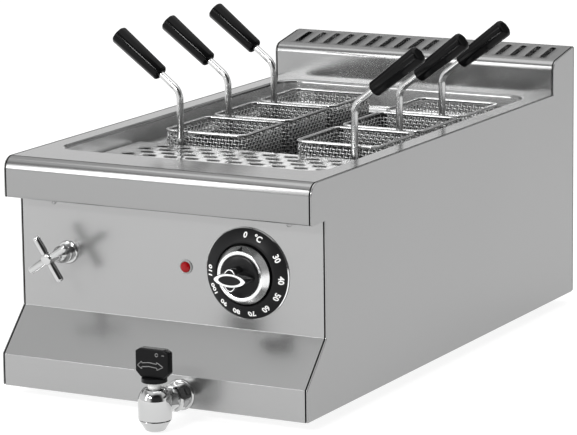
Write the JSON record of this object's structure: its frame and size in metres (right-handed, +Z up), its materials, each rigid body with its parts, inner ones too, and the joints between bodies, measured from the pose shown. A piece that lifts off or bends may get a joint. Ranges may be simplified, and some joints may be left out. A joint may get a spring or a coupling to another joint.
{
  "type": "pasta cooker",
  "caption": "Counter-top electric pasta cooker: a steel cabinet with a water tank, lift-out wire baskets with bent handles, a drain shelf, a thermostat dial, a fill tap and a drain tap.",
  "frame": {"origin": "centre of the bounding box's base, on the counter under the feet", "axes": "+Z up, +X to the right seen from the front, the controls face -Y"},
  "size_m": [0.417, 0.828, 0.3947],
  "materials": {
    "stainless": "satin sheet, fine grain along the width",
    "bright_steel": "polished plating",
    "basket_wire": "polished stainless wire",
    "heater_sheath": "dull grey tube",
    "grip_plastic": "glossy heat-proof moulding",
    "black_plastic": "satin moulding",
    "pale_plastic": "plain moulding",
    "red_lens": "clear red moulding",
    "brass": "turned",
    "copper": "drawn tube",
    "rubber": "moulded"
  },
  "bodies": {
    "cabinet": {"base_plate": "stainless", "feet": "rubber", "left_side_panel": "stainless", "right_side_panel": "stainless", "front_panel": "stainless", "top_deck": "stainless", "chimney_cover": "stainless", "back_panel": "stainless", "screws": "bright_steel", "tank": "stainless", "false_bottom": "stainless", "heating_element": "heater_sheath", "heater_flange": "stainless", "thermostat": "pale_plastic", "thermostat_bulb": "copper", "contactor": "pale_plastic", "terminal_block": "pale_plastic", "service_bracket": "stainless", "scale_plate": "black_plastic", "lamp_bezel": "bright_steel", "lamp_lens": "red_lens", "fill_valve": "brass", "fill_flange": "bright_steel", "fill_bonnet": "bright_steel", "fill_pipe": "copper", "supply_pipe": "copper", "water_inlet": "brass", "cable_gland": "black_plastic", "drain_pipe": "stainless", "drain_flange": "bright_steel", "drain_valve": "bright_steel", "drain_spout": "bright_steel", "drain_neck": "pale_plastic"},
    "thermostat_knob": {"knob_grip": "black_plastic", "knob_ring": "bright_steel", "knob_spindle": "bright_steel"},
    "fill_handle": {"cross_handle": "bright_steel", "fill_spindle": "bright_steel"},
    "drain_handle": {"drain_knob": "black_plastic", "drain_stem": "bright_steel", "drain_ball": "bright_steel"},
    "drain_plate": {"drain_plate": "stainless"},
    "basket_1": {"basket_1_net": "basket_wire", "basket_1_frame": "basket_wire", "basket_1_grip": "grip_plastic"},
    "basket_2": {"basket_2_net": "basket_wire", "basket_2_frame": "basket_wire", "basket_2_grip": "grip_plastic"},
    "basket_3": {"basket_3_net": "basket_wire", "basket_3_frame": "basket_wire", "basket_3_grip": "grip_plastic"},
    "basket_4": {"basket_4_net": "basket_wire", "basket_4_frame": "basket_wire", "basket_4_grip": "grip_plastic"},
    "basket_5": {"basket_5_net": "basket_wire", "basket_5_frame": "basket_wire", "basket_5_grip": "grip_plastic"},
    "basket_6": {"basket_6_net": "basket_wire", "basket_6_frame": "basket_wire", "basket_6_grip": "grip_plastic"}
  },
  "joints": [
    {"name": "basket_1_lift", "type": "slide", "parent": "cabinet", "child": "basket_1", "axis": [0, 0, 1], "range_m": [0, 0.31]},
    {"name": "basket_2_lift", "type": "slide", "parent": "cabinet", "child": "basket_2", "axis": [0, 0, 1], "range_m": [0, 0.31]},
    {"name": "basket_3_lift", "type": "slide", "parent": "cabinet", "child": "basket_3", "axis": [0, 0, 1], "range_m": [0, 0.31]},
    {"name": "basket_4_lift", "type": "slide", "parent": "cabinet", "child": "basket_4", "axis": [0, 0, 1], "range_m": [0, 0.31]},
    {"name": "basket_5_lift", "type": "slide", "parent": "cabinet", "child": "basket_5", "axis": [0, 0, 1], "range_m": [0, 0.31]},
    {"name": "basket_6_lift", "type": "slide", "parent": "cabinet", "child": "basket_6", "axis": [0, 0, 1], "range_m": [0, 0.31]},
    {"name": "drain_plate_lift", "type": "slide", "parent": "cabinet", "child": "drain_plate", "axis": [0, 0, 1], "range_m": [0, 0.155]},
    {"name": "thermostat_turn", "type": "hinge", "parent": "cabinet", "child": "thermostat_knob", "pos_m": [0.101, -0.291, 0.165], "axis": [0, 1, 0], "range_deg": [0, 278]},
    {"name": "fill_turn", "type": "hinge", "parent": "cabinet", "child": "fill_handle", "pos_m": [-0.136, -0.291, 0.168], "axis": [0, -1, 0], "range_deg": [0, 180]},
    {"name": "drain_turn", "type": "hinge", "parent": "cabinet", "child": "drain_handle", "pos_m": [0.0385, -0.395, 0.029], "axis": [0, 0, 1], "range_deg": [0, 90]}
  ]
}
